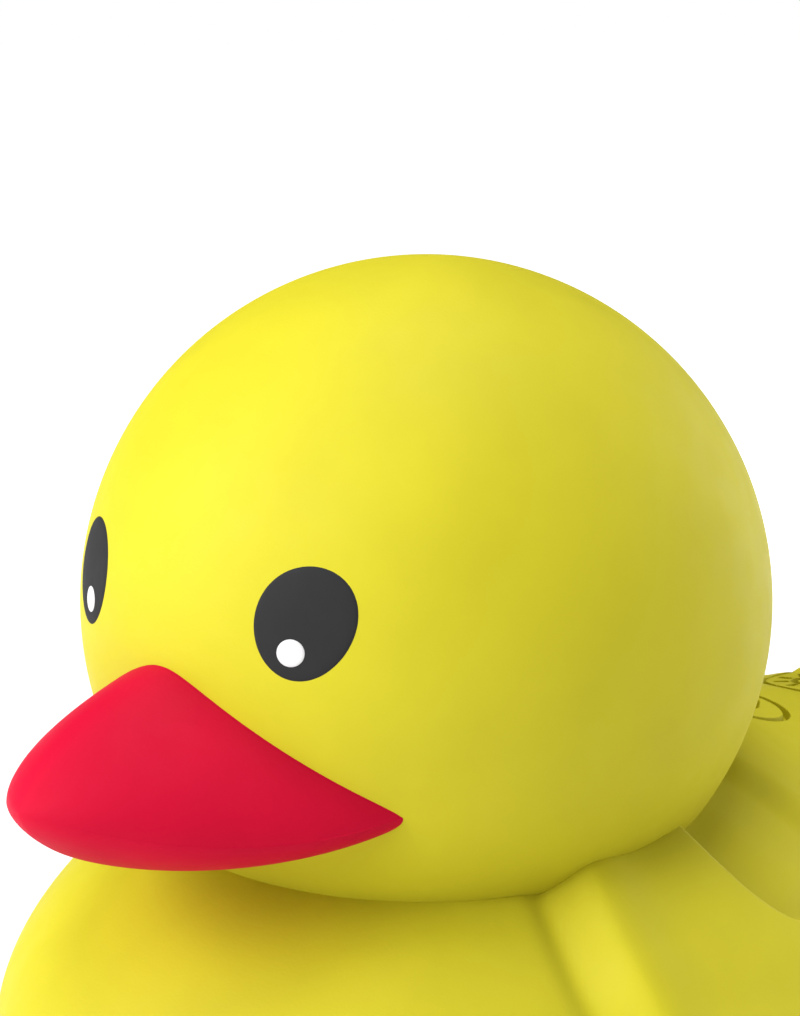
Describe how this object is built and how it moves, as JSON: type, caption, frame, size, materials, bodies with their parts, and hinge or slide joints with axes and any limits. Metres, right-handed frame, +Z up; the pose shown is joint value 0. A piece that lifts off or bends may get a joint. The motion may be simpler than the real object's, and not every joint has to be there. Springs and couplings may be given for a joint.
{
  "type": "floating chlorine dispenser",
  "caption": "Duck-shaped floating pool dispenser: yellow body and head shells, red beak, inlaid eyes, and a screw-in tablet canister below with a turning vent ring.",
  "frame": {"origin": "centre of the flat underside of the tablet canister's base, which the dispenser stands on", "axes": "+Z up along the canister's axis, the duck faces -Y, +X is the duck's left"},
  "size_m": [0.1656, 0.2292, 0.231],
  "materials": {
    "yellow_plastic": "smooth satin moulded plastic, UV-stable",
    "red_plastic": "smooth satin moulded plastic",
    "eye_dark_plastic": "matt dark grey inlay",
    "highlight_white": "matt white inlay",
    "white_plastic": "fine-textured moulded plastic",
    "blue_plastic": "fine-textured moulded plastic",
    "seal_rubber": "soft matt rubber",
    "screw_steel": "stainless, machined"
  },
  "bodies": {
    "duck": {"body_top_shell": "yellow_plastic", "body_hull": "yellow_plastic", "hull_seal": "seal_rubber", "shell_screws": "screw_steel", "head_shell": "yellow_plastic", "beak": "red_plastic", "beak_push_nuts": "screw_steel", "eye_left": "eye_dark_plastic", "eye_right": "eye_dark_plastic", "eye_highlight_left": "highlight_white", "eye_highlight_right": "highlight_white", "neck_seal": "seal_rubber", "neck_clamp_ring": "white_plastic", "neck_screws": "screw_steel", "canister_socket": "white_plastic", "socket_seal": "seal_rubber", "socket_screws": "screw_steel"},
    "gasket": {"canister_gasket": "seal_rubber"},
    "canister": {"tablet_canister": "white_plastic", "tablet_grate": "white_plastic", "canister_base": "blue_plastic"},
    "vent_ring": {"vent_ring": "blue_plastic"}
  },
  "joints": [
    {"name": "canister_drop", "type": "slide", "parent": "duck", "child": "gasket", "axis": [0, 0, -1], "range_m": [0, 0.005]},
    {"name": "canister_twist", "type": "hinge", "parent": "gasket", "child": "canister", "pos_m": [0, 0, 0.06], "axis": [0, 0, -1], "range_deg": [0, 60]},
    {"name": "vent_ring_turn", "type": "hinge", "parent": "canister", "child": "vent_ring", "pos_m": [0, 0, 0.0185], "axis": [0, 0, 1], "range_deg": [0, 30]}
  ],
  "couplings": [
    {"joint": "canister_drop", "follows": "canister_twist", "m_per_rad": 0.0047746}
  ]
}
